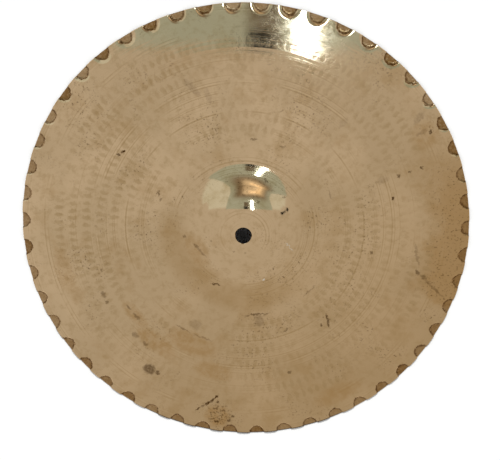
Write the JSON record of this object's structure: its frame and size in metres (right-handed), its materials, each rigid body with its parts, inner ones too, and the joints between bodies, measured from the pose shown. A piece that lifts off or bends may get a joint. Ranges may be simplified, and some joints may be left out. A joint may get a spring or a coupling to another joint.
{
  "type": "hi-hat cymbal",
  "caption": "Cast bronze hi-hat cymbal: domed bell with a rod hole, arched bow, and an edge hammered into a ring of half-moon dents that let air out as the pair closes.",
  "frame": {"origin": "on the turning axis, in the plane that the undersides of the edge dents share", "axes": "+Z along the turning axis, towards the bell; +X and +Y lie in the edge plane, with a dent 6.7 degrees round from +X"},
  "size_m": [0.3554, 0.3556, 0.036],
  "materials": {
    "cast_bronze": "lathed, hammered and buffed cast bronze with a light brown patina, darker in the dents"
  },
  "bodies": {
    "root": {"hi_hat_cymbal": "cast_bronze"}
  },
  "joints": []
}
